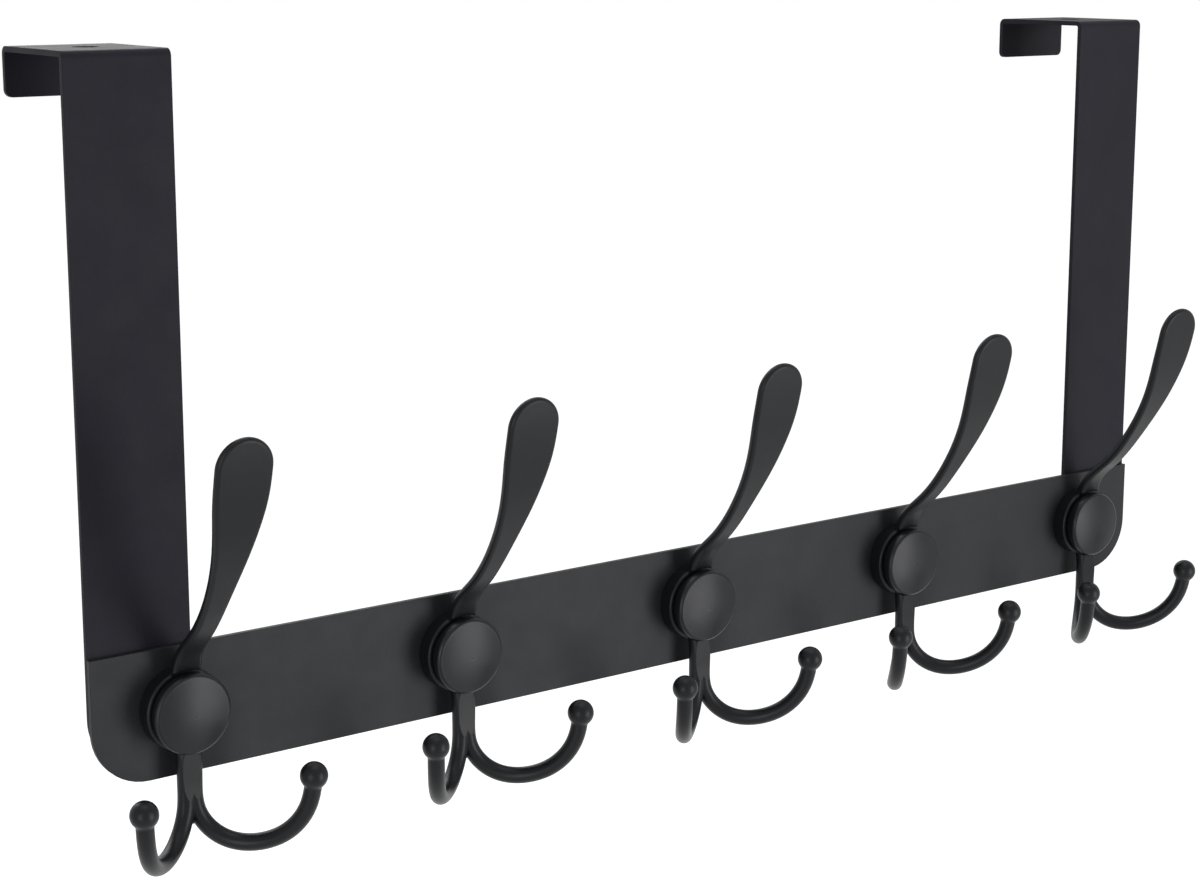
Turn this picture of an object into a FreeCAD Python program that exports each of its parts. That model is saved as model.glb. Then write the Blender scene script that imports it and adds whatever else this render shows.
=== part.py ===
import FreeCAD, Part
import math
import os
from FreeCAD import Vector

# Over door hook rack: a flat rail with five cast tri-hooks, hung on two sheet-steel straps.
# Frame: as it hangs. The front faces -Y, +Z is up, and the origin lies on the door's top edge,
# midway between the two strap holes and in the middle of the door's thickness. Millimetres.

# Door that the straps hook over
door_gap = 35.0              # inside of the straps, front to back

# Straps
strap_width = 30.0
strap_sheet = 1.5
strap_bend = 0.6             # inside radius of both bends
flange_drop = 12.0           # back flange, from the top plate's underside
flange_corner = 2.0
strap_hole_radius = 3.5
strap_end_margin = 3.0       # the strap stops this far above the rail's lower edge

# Rail
rail_length = 400.0
rail_height = 36.0
rail_sheet = 1.5
rail_corner = 16.0           # lower corners; the upper ones are square
rail_drop = 156.5            # door's top edge down to the rail's upper edge

# Row of hooks
hook_count = 5
hook_from_strap_edge = 5.0   # an end hook's axis, in from the strap's inner edge
hook_rise = 1.2              # boss axis above the rail's middle

# Boss of a hook, a drum on the rail's front with a round recess for the cap's skirt
boss_radius = 11.4
boss_depth = 5.0
boss_edge = 0.8
boss_wall = 2.4              # round the recess
boss_floor = 2.6             # metal under the recess

# Cap over the boss
cap_radius = 11.1
cap_gap = 0.5                # dark joint between boss and cap
cap_clearance = 0.4          # round the cap, where neck and stem pass it
cap_edge = 3.0               # underside of the cap to its widest ring
cap_undercut = 0.9           # the underside is this much smaller in radius
cap_shoulder = 1.25          # widest ring to the start of the dome
cap_dome = 1.0               # rise of the dome over its own edge
cap_wall = 1.1
fit_clearance = 0.05         # in radius, of the cap's skirt and of the rivets

# Two rivets behind each cap
rivet_spacing = 9.0
rivet_radius = 1.6
rivet_head_radius = 2.7
rivet_head_height = 1.3
rivet_sink_radius = 2.5      # tail, flush in a countersink at the back
rivet_sink_depth = 0.9

# Upper prong in side view: forward of the boss's front, above the boss axis, thickness there
prong_line = [
    (-0.2, 4.0, 3.6),
    (-0.1, 10.5, 3.4),
    (1.9, 15.6, 2.9),
    (9.2, 23.0, 2.7),
    (20.5, 36.4, 2.8),
    (29.1, 50.7, 2.8),
    (35.0, 66.4, 2.6),
    (38.2, 81.0, 2.4),
]
# Upper prong in front view: above the boss axis, width there, up to the paddle's round end
prong_sides = [
    (4.0, 8.8),
    (12.0, 8.4),
    (19.0, 7.2),
    (29.0, 6.6),
    (43.0, 8.8),
    (58.0, 13.7),
]
paddle_width = 16.0
prong_edge = 1.1             # rounding of the prong's long edges,
prong_edge_share = 0.45      # and the most it takes of the thinnest place
foot_edge = 0.5              # rounding of its foot, above the cap

# Stem and the two lower prongs
rod_radius = 2.4
rod_offset = 1.16            # each rod's axis from the hook's middle, in the stem
stem_depth = 3.6             # the stem is flattened to this depth, front and back
flat_end_drop = 19.0         # the flats run out below this height
flat_run = 8.0               # over this distance
flat_turn = 22.0             # at this radius
bar_inset = 0.02             # the metal between the rods lies this much inside them
stem_root_inset = 1.1        # stem axis behind the boss's front, where it leaves the boss
stem_forward_of_boss = 0.4   # and forward of it below the boss
stem_root_drop = 6.0         # heights of that bend, below the boss axis
stem_bend_drop = 14.5
stem_end_drop = 23.6         # where the rods start to turn outwards
groove_drop = 20.0           # below this a groove opens between the rods
crotch_drop = 31.8           # and where they part
crotch_radius = 1.0
inner_turn = 13.4            # radius of the turn from the stem to the lowest point
outer_turn = 20.1            # radius of the rise to the ball
outer_angle = 83.0
ball_run = 3.0               # straight end of a rod, to the ball's centre
prong_heading = 33.0         # a prong leaves the stem at this angle to the rail, seen from above
plan_radius = 77.0           # and curls forwards at this radius
ball_radius = 3.8
ball_neck = 1.0              # rounding between rod and ball

# How near an edge lies to the place where it is looked for
edge_near = 0.01
swept_edge_near = 0.1        # on a swept rod

# Places that follow from the sizes above
strap_front = -door_gap / 2 - strap_sheet
rail_front = strap_front - rail_sheet
rail_middle = -rail_drop - rail_height / 2
hook_height = rail_middle + hook_rise
strap_middle = rail_length / 2 - strap_width / 2
end_hook = rail_length / 2 - strap_width + hook_from_strap_edge
hook_spacing = 2 * end_hook / (hook_count - 1)
recess_radius = boss_radius - boss_wall
cap_under = boss_depth + cap_gap
stem_root = boss_depth - stem_root_inset
stem_forward = boss_depth + stem_forward_of_boss
tool_reach = 4 * boss_depth  # forward end of a cutting tool, clear of the boss and the cap


def local(x, forward, up):
    """A point of a hook, measured from the boss axis on the rail's front face."""
    return Vector(x, -forward, up)


def spline_edge(points, start=None, end=None):
    """Smooth edge through points, with a direction at its ends where one is given."""
    curve = Part.BSplineCurve()
    if start is None:
        curve.interpolate(points)
    else:
        curve.interpolate(points, InitialTangent=start, FinalTangent=end)
    return curve.toShape()


def arc_edge(a, b, c):
    return Part.Arc(a, b, c).toShape()


def line_edge(a, b):
    return Part.LineSegment(a, b).toShape()


def dome_edge(radius, rise, foot):
    """Arc of a round dome in half section, from its edge up to its top on the boss axis."""
    sphere = (radius ** 2 + rise ** 2) / (2 * rise)
    half = math.asin(radius / sphere) / 2
    middle_radius = sphere * math.sin(half)
    middle_forward = foot + rise - sphere * (1 - math.cos(half))
    return arc_edge(
        local(radius, foot, 0),
        local(middle_radius, middle_forward, 0),
        local(0, foot + rise, 0),
    )


def turned(edges):
    """Solid turned about the boss axis from a closed half section."""
    face = Part.Face(Part.Wire(edges))
    return face.revolve(Vector(0, 0, 0), Vector(0, 1, 0), 360)


def round_bore(radius, start, end, up=0):
    """Round tool along the boss axis, or above it, from one forward distance to another."""
    return Part.makeCylinder(radius, end - start, local(0, start, up), Vector(0, -1, 0))


def make_rail():
    """Flat bar with square upper corners, round lower corners and the rivet holes."""
    half = rail_length / 2
    top = rail_middle + rail_height / 2
    bottom = rail_middle - rail_height / 2
    r = rail_corner
    diagonal = r * (1 - math.sqrt(0.5))

    def at(x, z):
        return Vector(x, rail_front, z)

    edges = [
        line_edge(at(-half, top), at(half, top)),
        line_edge(at(half, top), at(half, bottom + r)),
        arc_edge(at(half, bottom + r), at(half - diagonal, bottom + diagonal), at(half - r, bottom)),
        line_edge(at(half - r, bottom), at(-half + r, bottom)),
        arc_edge(at(-half + r, bottom), at(-half + diagonal, bottom + diagonal), at(-half, bottom + r)),
        line_edge(at(-half, bottom + r), at(-half, top)),
    ]
    rail = Part.Face(Part.Wire(edges)).extrude(Vector(0, rail_sheet, 0))
    for number in range(hook_count):
        for hole in rivet_holes(number):
            rail = rail.cut(hole)
    return rail


def strap_section():
    """Side view of a strap: front leg, bend, top plate, bend, back flange."""
    inner = strap_bend
    outer = strap_bend + strap_sheet
    front = -door_gap / 2
    back = door_gap / 2
    low = rail_middle - rail_height / 2 + strap_end_margin
    slant = math.sqrt(0.5)

    def at(y, z):
        return Vector(0, y, z)

    def corner(y, z, sign, radius):
        """Quarter bend about the centre (y, z), on the front (-1) or back (+1) side."""
        side = at(y + sign * radius, z)
        middle = at(y + sign * radius * slant, z + radius * slant)
        top = at(y, z + radius)
        return side, middle, top

    front_in = corner(front + inner, -inner, -1, inner)
    front_out = corner(front + inner, -inner, -1, outer)
    back_in = corner(back - inner, -inner, 1, inner)
    back_out = corner(back - inner, -inner, 1, outer)
    edges = [
        line_edge(at(front - strap_sheet, low), front_out[0]),
        arc_edge(*front_out),
        line_edge(front_out[2], back_out[2]),
        arc_edge(*reversed(back_out)),
        line_edge(back_out[0], at(back + strap_sheet, -flange_drop)),
        line_edge(at(back + strap_sheet, -flange_drop), at(back, -flange_drop)),
        line_edge(at(back, -flange_drop), back_in[0]),
        arc_edge(*back_in),
        line_edge(back_in[2], front_in[2]),
        arc_edge(*reversed(front_in)),
        line_edge(front_in[0], at(front, low)),
        line_edge(at(front, low), at(front - strap_sheet, low)),
    ]
    return Part.Face(Part.Wire(edges))


def sheet_edges(shape, height, y_low, y_high, x):
    """Short edges through the sheet, at one height and one side of a strap."""
    found = []
    for edge in shape.Edges:
        box = edge.BoundBox
        thin = box.XLength < edge_near and box.ZLength < edge_near
        placed = abs(box.ZMin - height) < edge_near and abs(box.XMin - x) < edge_near
        if thin and placed and box.YMin > y_low - edge_near and box.YMax < y_high + edge_near:
            found.append(edge)
    return found


def make_strap(side):
    """Bent strap at the left (-1) or right (+1) end of the rail."""
    left = side * strap_middle - strap_width / 2
    strap = strap_section()
    strap.translate(Vector(left, 0, 0))
    strap = strap.extrude(Vector(strap_width, 0, 0))
    low = rail_middle - rail_height / 2 + strap_end_margin
    outer_x = side * rail_length / 2
    inner_x = outer_x - side * strap_width
    back = door_gap / 2
    for x in (outer_x, inner_x):
        corners = sheet_edges(strap, -flange_drop, back, back + strap_sheet, x)
        strap = strap.makeFillet(flange_corner, corners)
    outer_corner = sheet_edges(strap, low, strap_front, -door_gap / 2, outer_x)
    strap = strap.makeFillet(rail_corner, outer_corner)
    hole = Part.makeCylinder(strap_hole_radius, 3 * strap_sheet, Vector(side * strap_middle, 0, -strap_sheet))
    strap = strap.cut(hole)
    end_number = 0 if side < 0 else hook_count - 1
    for rivet_hole in rivet_holes(end_number):
        strap = strap.cut(rivet_hole)
    return strap


def hook_place(number):
    """Boss axis of a hook on the rail's front face, counted from the left."""
    return Vector(-end_hook + number * hook_spacing, rail_front, hook_height)


def grip_back(number):
    """Depth behind the rail's front at which a hook's rivets end."""
    if number in (0, hook_count - 1):
        return rail_sheet + strap_sheet
    return rail_sheet


def rivet_heights():
    return {"lower": -rivet_spacing / 2, "upper": rivet_spacing / 2}


def rivet_holes(number):
    """Clearance holes and countersinks for a hook's two rivets, through the sheets."""
    back = grip_back(number)
    radius = rivet_radius + fit_clearance
    sink = rivet_sink_radius + fit_clearance
    holes = []
    for up in rivet_heights().values():
        bore = round_bore(radius, -2 * back, boss_floor, up)
        sink_top = local(0, rivet_sink_depth - back, up)
        cone = Part.makeCone(radius, sink, rivet_sink_depth, sink_top, Vector(0, 1, 0))
        hole = bore.fuse(cone)
        hole.translate(hook_place(number))
        holes.append(hole)
    return holes


def make_rivet(number, up):
    """Domed head on the boss's floor, shank through the sheets, tail flush at the back."""
    back = grip_back(number)
    head = rivet_head_radius
    face = boss_floor
    top = boss_floor + rivet_head_height

    def at(radius, forward):
        return Vector(radius, -forward, 0)

    edges = [
        line_edge(at(0, top), at(0, -back)),
        line_edge(at(0, -back), at(rivet_sink_radius, -back)),
        line_edge(at(rivet_sink_radius, -back), at(rivet_radius, rivet_sink_depth - back)),
        line_edge(at(rivet_radius, rivet_sink_depth - back), at(rivet_radius, face)),
        line_edge(at(rivet_radius, face), at(head, face)),
        dome_edge(head, rivet_head_height, face),
    ]
    rivet = turned(edges)
    rivet.translate(hook_place(number) + Vector(0, 0, up))
    return rivet


def make_boss():
    """Drum on the rail, its front edge rounded."""
    drum = round_bore(boss_radius, 0, boss_depth)
    rim = [edge for edge in drum.Edges if edge.BoundBox.YMax < edge_near - boss_depth]
    return drum.makeFillet(boss_edge, rim)


def prong_band():
    """Side view of the upper prong, drawn out across its full width."""
    front = []
    back = []
    count = len(prong_line)
    for k, (ahead, up, thick) in enumerate(prong_line):
        before = prong_line[max(k - 1, 0)]
        after = prong_line[min(k + 1, count - 1)]
        run = after[0] - before[0]
        rise = after[1] - before[1]
        length = math.hypot(run, rise)
        middle = local(-paddle_width, boss_depth + ahead, up)
        across = local(0, rise, -run) * (thick / 2 / length)
        front.append(middle + across)
        back.append(middle - across)
    past = (front[-1] - front[-2]).normalize() * paddle_width / 2
    tip_front = front[-1] + past
    tip_back = back[-1] + past
    edges = [
        spline_edge(front),
        line_edge(front[-1], tip_front),
        line_edge(tip_front, tip_back),
        line_edge(tip_back, back[-1]),
        spline_edge(back),
        line_edge(back[0], front[0]),
    ]
    face = Part.Face(Part.Wire(Part.__sortEdges__(edges)))
    return face.extrude(Vector(2 * paddle_width, 0, 0))


def prong_outline():
    """Front view of the upper prong: slim neck, widening to a round paddle."""
    tip = prong_line[-1][1]
    radius = paddle_width / 2
    widest = tip - radius
    root, root_width = prong_sides[0]
    neck, neck_width = prong_sides[1]
    taper = (root_width - neck_width) / (neck - root)

    def side(sign):
        points = [local(sign * width / 2, 0, up) for up, width in prong_sides]
        points.append(local(sign * radius, 0, widest))
        return spline_edge(points, Vector(-sign * taper, 0, 1), Vector(0, 0, 1))

    edges = [
        side(-1),
        arc_edge(local(-radius, 0, widest), local(0, 0, tip), local(radius, 0, widest)),
        side(1),
        line_edge(local(root_width / 2, 0, root), local(-root_width / 2, 0, root)),
    ]
    face = Part.Face(Part.Wire(Part.__sortEdges__(edges)))
    reach = boss_depth + prong_line[-1][0] + paddle_width
    return face.extrude(Vector(0, -reach, 0))


def make_upper_prong():
    """Spoon-shaped prong: the side view and the front view crossed, long edges rounded."""
    prong = prong_band().common(prong_outline())
    thickest = max(thick for ahead, up, thick in prong_line)
    thinnest = min(thick for ahead, up, thick in prong_line)
    long_edges = []
    for edge in prong.Edges:
        if edge.BoundBox.ZMax > boss_radius and edge.Length > thickest:
            long_edges.append(edge)
    return prong.makeFillet(min(prong_edge, prong_edge_share * thinnest), long_edges)


def stem_points(x):
    """Axis of the stem at a distance from the hook's middle, from the boss down to the turn."""
    middle = (stem_root_drop + stem_bend_drop) / 2
    return [
        local(x, stem_root, -stem_root_drop),
        local(x, (stem_root + stem_forward) / 2, -middle),
        local(x, stem_forward, -stem_bend_drop),
        local(x, stem_forward, -(stem_bend_drop + stem_end_drop) / 2),
        local(x, stem_forward, -stem_end_drop),
    ]


def plan_point(side, out, up):
    """Point of a lower prong: distance out along its curl in plan, and height."""
    start = math.radians(prong_heading)
    turn = start + out / plan_radius
    x = rod_offset + plan_radius * (math.sin(turn) - math.sin(start))
    forward = stem_forward - plan_radius * (math.cos(turn) - math.cos(start))
    return local(side * x, forward, up)


def prong_axis(side):
    """Axis of a lower prong: down the stem, round its lowest point and up to the ball."""
    points = stem_points(side * rod_offset)
    steps = 5
    for k in range(1, steps + 1):
        a = math.radians(90 * k / steps)
        out = inner_turn * (1 - math.cos(a))
        points.append(plan_point(side, out, -stem_end_drop - inner_turn * math.sin(a)))
    lowest = -stem_end_drop - inner_turn
    for k in range(1, steps + 1):
        a = math.radians(outer_angle * k / steps)
        out = inner_turn + outer_turn * math.sin(a)
        points.append(plan_point(side, out, lowest + outer_turn * (1 - math.cos(a))))
    return points


def ball_place(side):
    """Centre of a ball and the direction in which the rod reaches it."""
    a = math.radians(outer_angle)
    out = inner_turn + outer_turn * math.sin(a)
    up = -stem_end_drop - inner_turn + outer_turn * (1 - math.cos(a))
    end = plan_point(side, out, up)
    ball = plan_point(side, out + ball_run * math.cos(a), up + ball_run * math.sin(a))
    return end, ball


def rod_along(points, radius, end_direction):
    """Round rod along a smooth axis that starts straight down."""
    axis = Part.Wire(spline_edge(points, Vector(0, 0, -1), end_direction))
    circle = Part.Circle(points[0], Vector(0, 0, 1), radius).toShape()
    return axis.makePipeShell([Part.Wire(circle)], True, False)


def make_lower_prong(side):
    """One round lower prong with its ball, the neck between them rounded."""
    end, ball = ball_place(side)
    direction = (ball - end).normalize()
    rod = rod_along(prong_axis(side) + [ball], rod_radius, direction)
    prong = rod.fuse(Part.makeSphere(ball_radius, ball))
    neck_back = math.sqrt(ball_radius ** 2 - rod_radius ** 2)
    neck = []
    for edge in prong.Edges:
        middle = edge.valueAt((edge.FirstParameter + edge.LastParameter) / 2)
        on_ball = abs((middle - ball).Length - ball_radius) < swept_edge_near
        if on_ball and abs((middle - ball).dot(direction) + neck_back) < swept_edge_near:
            neck.append(edge)
    return prong.makeFillet(ball_neck, neck)


def make_stem_bar():
    """Metal between the two rods: as deep as they are, then thinning to where they part."""
    depth = rod_radius - bar_inset
    lowest = -crotch_drop
    round_centre = lowest + crotch_radius

    def long_side(sign):
        """Front (+1) or back (-1) of the bar, from its root down to its round end."""
        across = local(0, sign * depth, 0)
        bend = [point + across for point in stem_points(-rod_offset)[:3]]
        groove_top = local(-rod_offset, stem_forward + sign * depth, -groove_drop)
        round_start = local(-rod_offset, stem_forward + sign * crotch_radius, round_centre)
        down = Vector(0, 0, -1)
        edges = [
            spline_edge(bend, down, down),
            line_edge(bend[-1], groove_top),
            line_edge(groove_top, round_start),
        ]
        return edges, bend[0], round_start

    front, front_root, front_end = long_side(1)
    back, back_root, back_end = long_side(-1)
    end = arc_edge(front_end, local(-rod_offset, stem_forward, lowest), back_end)
    edges = front + back + [end, line_edge(back_root, front_root)]
    face = Part.Face(Part.Wire(Part.__sortEdges__(edges)))
    return face.extrude(Vector(2 * rod_offset, 0, 0))


def stem_flat(side):
    """Tool that flattens the front (+1) or back (-1) of the stem and runs out at the turn."""
    width = 2 * (rod_offset + 2 * rod_radius)
    flat = stem_forward + side * stem_depth / 2
    far = flat + side * 2 * rod_radius
    angle = math.asin(flat_run / flat_turn)

    def at(forward, up):
        return local(-width / 2, forward, up)

    def run_out(turned_by):
        forward = flat + side * flat_turn * (1 - math.cos(turned_by))
        return at(forward, -flat_end_drop - flat_turn * math.sin(turned_by))

    end = run_out(angle)
    edges = [
        line_edge(at(flat, 0), at(flat, -flat_end_drop)),
        arc_edge(at(flat, -flat_end_drop), run_out(angle / 2), end),
        line_edge(end, at(far, end.z)),
        line_edge(at(far, end.z), at(far, 0)),
        line_edge(at(far, 0), at(flat, 0)),
    ]
    return Part.Face(Part.Wire(edges)).extrude(Vector(width, 0, 0))


def make_lower_part():
    """Stem and the two lower prongs."""
    part = make_stem_bar()
    for side in (-1, 1):
        part = part.fuse(make_lower_prong(side))
    for side in (-1, 1):
        part = part.cut(stem_flat(side))
    return part


def round_foot(prong, around):
    """Rounds the lower front edge of the upper prong, just above the cap."""
    foot = []
    for edge in prong.Edges:
        box = edge.BoundBox
        if box.YMax < -boss_depth - foot_edge and box.ZMax < around + edge_near:
            foot.append(edge)
    return prong.makeFillet(foot_edge, foot)


def make_hook():
    """One casting: boss with its recess, upper prong, stem and two lower prongs."""
    around = cap_radius + cap_clearance
    room = round_bore(around, boss_depth, tool_reach)
    hook = make_boss()
    hook = hook.fuse(round_foot(make_upper_prong().cut(room), around))
    hook = hook.fuse(make_lower_part().cut(room))
    hook = hook.cut(round_bore(recess_radius, boss_floor, tool_reach))
    for up in rivet_heights().values():
        hook = hook.cut(round_bore(rivet_radius + fit_clearance, -boss_floor, 2 * boss_floor, up))
    return hook


def make_cap():
    """Domed cover with a hollow skirt that seats on the floor of the boss's recess."""
    widest = cap_under + cap_edge
    shoulder = widest + cap_shoulder
    crown = shoulder + cap_dome
    flat = cap_radius - cap_shoulder
    foot = cap_radius - cap_undercut
    skirt = recess_radius - fit_clearance
    inside = skirt - cap_wall
    corner = math.sqrt(0.5)

    def at(radius, forward):
        return Vector(radius, -forward, 0)

    side_radius = (cap_edge ** 2 + cap_undercut ** 2) / (2 * cap_undercut)
    half = math.asin(cap_edge / side_radius) / 2
    bulge = at(cap_radius - side_radius * (1 - math.cos(half)), widest - side_radius * math.sin(half))
    edges = [
        line_edge(at(0, crown - cap_wall), at(0, crown)),
        dome_edge(flat, cap_dome, shoulder),
        arc_edge(
            at(flat, shoulder),
            at(flat + cap_shoulder * corner, widest + cap_shoulder * corner),
            at(cap_radius, widest),
        ),
        arc_edge(at(cap_radius, widest), bulge, at(foot, cap_under)),
        line_edge(at(foot, cap_under), at(skirt, cap_under)),
        line_edge(at(skirt, cap_under), at(skirt, boss_floor)),
        line_edge(at(skirt, boss_floor), at(inside, boss_floor)),
        line_edge(at(inside, boss_floor), at(inside, shoulder - cap_wall)),
        line_edge(at(inside, shoulder - cap_wall), at(0, crown - cap_wall)),
    ]
    return turned(edges)


def write(shape, name):
    shape.exportStep(os.path.join("parts", name + ".step"))


def main():
    os.makedirs("parts", exist_ok=True)
    write(make_rail(), "rail")
    write(make_strap(-1), "strap_left")
    write(make_strap(1), "strap_right")
    hook = make_hook()
    cap = make_cap()
    for number in range(hook_count):
        place = hook_place(number)
        label = str(number + 1)
        for shape, name in ((hook, "hook_"), (cap, "cap_")):
            copy = shape.copy()
            copy.translate(place)
            write(copy, name + label)
        for level, up in rivet_heights().items():
            write(make_rivet(number, up), "rivet_" + label + "_" + level)


main()
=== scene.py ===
import math

import bpy
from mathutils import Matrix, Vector

# Over door hook rack: powder-coated rail and straps, satin-coated hooks and caps, all black.
# Lengths are in metres, a lamp's power is in watts.

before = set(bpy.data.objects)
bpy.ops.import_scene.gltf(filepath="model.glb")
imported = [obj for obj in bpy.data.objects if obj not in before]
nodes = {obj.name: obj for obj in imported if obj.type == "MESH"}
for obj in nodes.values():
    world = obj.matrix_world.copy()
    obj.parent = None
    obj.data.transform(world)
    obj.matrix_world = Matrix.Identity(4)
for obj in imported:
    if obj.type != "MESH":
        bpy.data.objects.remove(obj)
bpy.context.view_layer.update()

# Photograph, and the camera that fits it
PHOTO_WIDTH = 1200           # pixels
PHOTO_HEIGHT = 886
FOCAL_LENGTH = 2354.1        # in pixels of the photograph
AXIS_ROW = 383               # row of the photograph that the lens points at
SENSOR_WIDTH = 36.0          # millimetres
CAMERA_PLACE = (-0.4422, -0.5751, 0.0284)
LOOKS_DOWN = 10.63           # degrees
LOOKS_RIGHT = 36.32
CLIP_START = 0.01

# Floor, world and lamps
FLOOR_HEIGHT = -0.9
FLOOR_REACH = 12.0           # from the middle to each side
FLOOR_GREY = 0.60
FLOOR_ROUGHNESS = 0.9
FLOOR_SPECULAR = 0.1
FLOOR_GLOW = 0.84            # lifts it to white for the rays that see the background
WORLD_LIGHT = 0.34           # strength on the object
WORLD_SEEN = 1.0             # strength as the background
LAMP_TARGET = (0.0, -0.02, -0.12)    # the object's middle

# Coats: noise is in cells a metre, or in cells a pebble where it follows the pebbles' size
CLOUDS = 38.0                # mottling, a few centimetres wide
PATCHES = 95.0               # of gloss, about a centimetre wide
SPECKS = 0.45                # cells a pebble
WAVES = 0.16
SPECK_SHARE = 0.45           # of the mottling; the clouds have the rest
MOTTLE_FROM = 0.32           # noise from which the colour is at its darkest
MOTTLE_TO = 0.68             # and at its lightest
GLOSS_FROM = 0.3             # noise from which the coat is at its smoothest
GLOSS_TO = 0.7               # and at its roughest
GLOSS_SPREAD = 0.035         # of roughness, either way
WAVE_HEIGHT = 1.5            # as a multiple of the pebbles'
EDGE_ROUNDING = 0.0003       # radius of sharp edges under the coat
EDGE_SAMPLES = 6


# Materials

def noise(tree, scale, detail, roughness):
    """Noise in the piece's own space."""
    place = tree.nodes.new("ShaderNodeTexCoord")
    texture = tree.nodes.new("ShaderNodeTexNoise")
    texture.inputs["Scale"].default_value = scale
    texture.inputs["Detail"].default_value = detail
    texture.inputs["Roughness"].default_value = roughness
    tree.links.new(place.outputs["Object"], texture.inputs["Vector"])
    return texture.outputs["Fac"]


def mottled_color(tree, color, spread, grain):
    """The plain colour, a little darker and lighter in clouds and in fine specks."""
    both = tree.nodes.new("ShaderNodeMix")
    both.data_type = "FLOAT"
    both.inputs["Factor"].default_value = SPECK_SHARE
    tree.links.new(noise(tree, CLOUDS, detail=4.0, roughness=0.6), both.inputs["A"])
    tree.links.new(noise(tree, SPECKS / grain, detail=2.0, roughness=0.5), both.inputs["B"])
    shades = tree.nodes.new("ShaderNodeValToRGB")
    dark = shades.color_ramp.elements[0]
    dark.position = MOTTLE_FROM
    dark.color = [part * (1 - spread) for part in color] + [1]
    light = shades.color_ramp.elements[1]
    light.position = MOTTLE_TO
    light.color = [part * (1 + spread) for part in color] + [1]
    tree.links.new(both.outputs["Result"], shades.inputs["Fac"])
    return shades.outputs["Color"]


def patchy_roughness(tree, roughness):
    """Roughness in patches where the coat lies a little smoother or rougher."""
    level = tree.nodes.new("ShaderNodeMapRange")
    level.inputs["From Min"].default_value = GLOSS_FROM
    level.inputs["From Max"].default_value = GLOSS_TO
    level.inputs["To Min"].default_value = roughness - GLOSS_SPREAD
    level.inputs["To Max"].default_value = roughness + GLOSS_SPREAD
    tree.links.new(noise(tree, PATCHES, detail=3.0, roughness=0.55), level.inputs["Value"])
    return level.outputs["Result"]


def bumped(tree, normal, height, distance):
    """The normal, with a relief of that distance laid over it."""
    bump = tree.nodes.new("ShaderNodeBump")
    bump.inputs["Strength"].default_value = 1.0
    bump.inputs["Distance"].default_value = distance
    tree.links.new(height, bump.inputs["Height"])
    tree.links.new(normal, bump.inputs["Normal"])
    return bump.outputs["Normal"]


def coat_normal(tree, grain, relief):
    """Softened edges, then the coat's pebbles, then slow waves."""
    edge = tree.nodes.new("ShaderNodeBevel")
    edge.samples = EDGE_SAMPLES
    edge.inputs["Radius"].default_value = EDGE_ROUNDING
    pebbles = noise(tree, 1.0 / grain, detail=2.5, roughness=0.5)
    waves = noise(tree, WAVES / grain, detail=1.0, roughness=0.4)
    pebbled = bumped(tree, edge.outputs["Normal"], pebbles, relief)
    return bumped(tree, pebbled, waves, WAVE_HEIGHT * relief)


def paint(name, color, spread, roughness, specular, grain, relief):
    """Powder or satin coat.

    spread is the strength of the mottling, grain the size of one pebble of the coat
    and relief the pebbles' height.
    """
    material = bpy.data.materials.new(name)
    material.use_nodes = True
    tree = material.node_tree
    shader = tree.nodes["Principled BSDF"]
    shader.inputs["Specular IOR Level"].default_value = specular
    tree.links.new(mottled_color(tree, color, spread, grain), shader.inputs["Base Color"])
    tree.links.new(patchy_roughness(tree, roughness), shader.inputs["Roughness"])
    tree.links.new(coat_normal(tree, grain, relief), shader.inputs["Normal"])
    return material


def dress(start, material):
    """Gives the material to each piece whose name begins with start."""
    for name, piece in nodes.items():
        if name.startswith(start):
            for slot in piece.material_slots:
                slot.material = material


dress("rail", paint(
    "rail_paint",
    color=(0.0140, 0.0150, 0.0170),
    spread=0.10,
    roughness=0.50,
    specular=0.18,
    grain=0.00045,
    relief=0.000012,
))
dress("strap_", paint(
    "strap_paint",
    color=(0.0122, 0.0117, 0.0170),
    spread=0.10,
    roughness=0.55,
    specular=0.10,
    grain=0.00040,
    relief=0.000012,
))
dress("hook_", paint(
    "hook_paint",
    color=(0.0060, 0.0067, 0.0081),
    spread=0.12,
    roughness=0.37,
    specular=0.17,
    grain=0.00038,
    relief=0.000008,
))
dress("cap_", paint(
    "cap_paint",
    color=(0.0070, 0.0077, 0.0095),
    spread=0.10,
    roughness=0.34,
    specular=0.21,
    grain=0.00036,
    relief=0.000006,
))
dress("rivet_", paint(
    "rivet_steel",
    color=(0.020, 0.020, 0.021),
    spread=0.15,
    roughness=0.45,
    specular=0.5,
    grain=0.00030,
    relief=0.000008,
))


# Stage

def seen_rays(tree):
    """Socket that is 1 for the rays that see the background: camera, glossy and transmission."""
    rays = tree.nodes.new("ShaderNodeLightPath")
    seen = rays.outputs["Is Camera Ray"]
    for name in ("Is Glossy Ray", "Is Transmission Ray"):
        either = tree.nodes.new("ShaderNodeMath")
        either.operation = "MAXIMUM"
        tree.links.new(seen, either.inputs[0])
        tree.links.new(rays.outputs[name], either.inputs[1])
        seen = either.outputs[0]
    return seen


def floor_material():
    """Matt pale grey that glows for the rays that see the background."""
    material = bpy.data.materials.new("floor_white")
    material.use_nodes = True
    tree = material.node_tree
    shader = tree.nodes["Principled BSDF"]
    shader.inputs["Base Color"].default_value = (FLOOR_GREY, FLOOR_GREY, FLOOR_GREY, 1)
    shader.inputs["Roughness"].default_value = FLOOR_ROUGHNESS
    shader.inputs["Specular IOR Level"].default_value = FLOOR_SPECULAR
    shader.inputs["Emission Color"].default_value = (1, 1, 1, 1)
    glow = tree.nodes.new("ShaderNodeMath")
    glow.operation = "MULTIPLY"
    glow.inputs[1].default_value = FLOOR_GLOW
    tree.links.new(seen_rays(tree), glow.inputs[0])
    tree.links.new(glow.outputs[0], shader.inputs["Emission Strength"])
    return material


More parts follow.
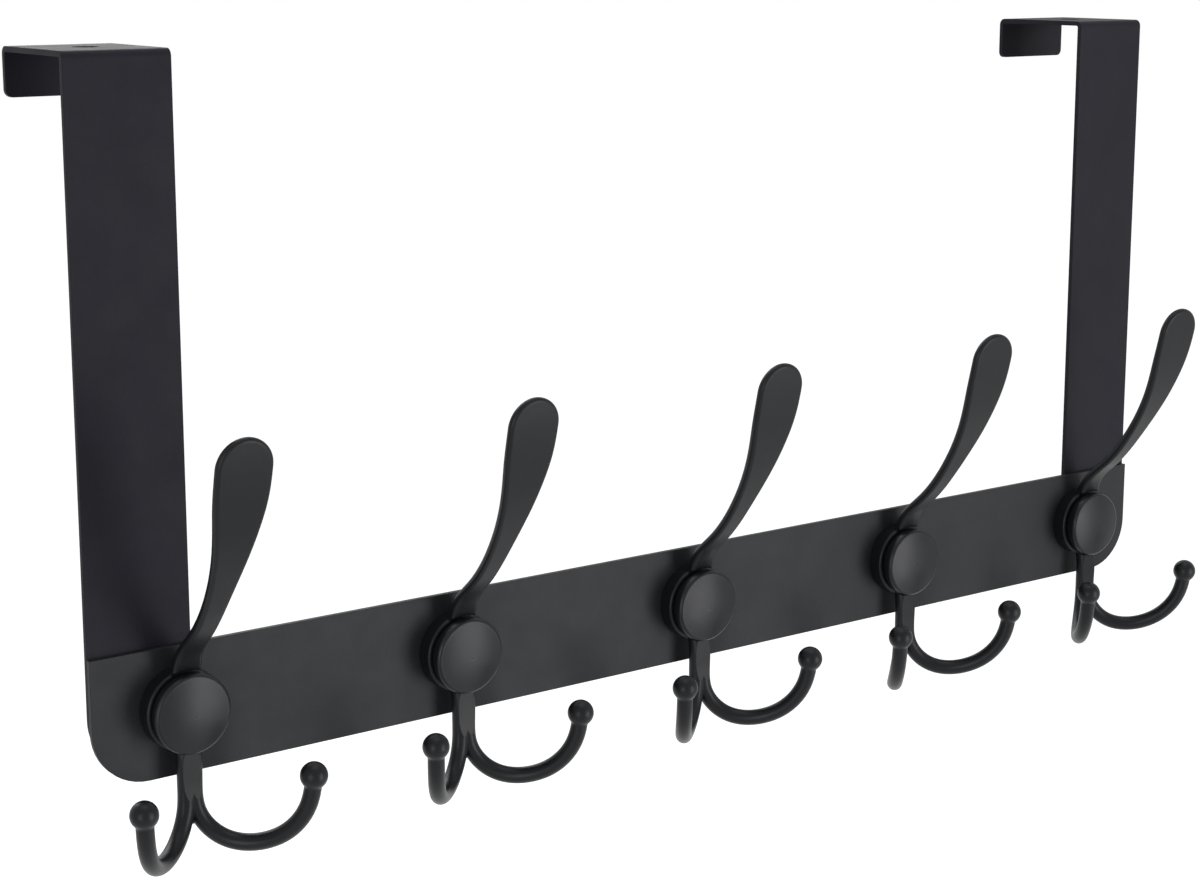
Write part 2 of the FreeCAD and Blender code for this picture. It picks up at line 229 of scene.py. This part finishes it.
def add_floor():
    """Plain floor far below the object, white to the camera but for a soft shadow."""
    reach = FLOOR_REACH
    corners = [(-reach, -reach), (reach, -reach), (reach, reach), (-reach, reach)]
    mesh = bpy.data.meshes.new("floor")
    mesh.from_pydata([(x, y, FLOOR_HEIGHT) for x, y in corners], [], [(0, 1, 2, 3)])
    mesh.materials.append(floor_material())
    floor = bpy.data.objects.new("floor", mesh)
    bpy.context.scene.collection.objects.link(floor)


def add_world():
    """Even white surroundings, weaker as light on the object than as its background."""
    world = bpy.data.worlds.new("studio")
    world.use_nodes = True
    tree = world.node_tree
    background = tree.nodes["Background"]
    background.inputs["Color"].default_value = (1, 1, 1, 1)
    level = tree.nodes.new("ShaderNodeMapRange")
    level.inputs["To Min"].default_value = WORLD_LIGHT
    level.inputs["To Max"].default_value = WORLD_SEEN
    tree.links.new(seen_rays(tree), level.inputs["Value"])
    tree.links.new(level.outputs["Result"], background.inputs["Strength"])
    bpy.context.scene.world = world


def add_softbox(name, place, size, power):
    """Soft rectangular lamp, size across and up, that faces the object."""
    lamp = bpy.data.lights.new(name, "AREA")
    lamp.shape = "RECTANGLE"
    lamp.size, lamp.size_y = size
    lamp.energy = power
    holder = bpy.data.objects.new(name, lamp)
    holder.location = place
    ahead = Vector(LAMP_TARGET) - Vector(place)
    holder.rotation_euler = ahead.to_track_quat("-Z", "Y").to_euler()
    bpy.context.scene.collection.objects.link(holder)


add_floor()
add_world()
add_softbox("key_right", place=(0.68, -1.35, -0.25), size=(0.65, 1.10), power=13.5)
add_softbox("fill_left", place=(-1.5, -0.95, -0.10), size=(0.6, 1.0), power=9)
add_softbox("top", place=(0.0, -0.2, 1.8), size=(1.6, 1.2), power=10)
add_softbox("back", place=(0.0, 1.5, 0.9), size=(1.4, 1.0), power=14)


# Camera

def add_camera():
    """Camera at the photograph's viewing angle."""
    lens = bpy.data.cameras.new("camera")
    lens.sensor_fit = "HORIZONTAL"
    lens.sensor_width = SENSOR_WIDTH
    lens.lens = FOCAL_LENGTH / PHOTO_WIDTH * SENSOR_WIDTH
    lens.shift_y = (AXIS_ROW - PHOTO_HEIGHT / 2) / PHOTO_WIDTH
    lens.clip_start = CLIP_START
    camera = bpy.data.objects.new("camera", lens)
    camera.location = CAMERA_PLACE
    camera.rotation_euler = (math.radians(90 - LOOKS_DOWN), 0.0, math.radians(-LOOKS_RIGHT))
    bpy.context.scene.collection.objects.link(camera)
    bpy.context.scene.camera = camera


add_camera()
bpy.context.scene.view_settings.view_transform = "Standard"
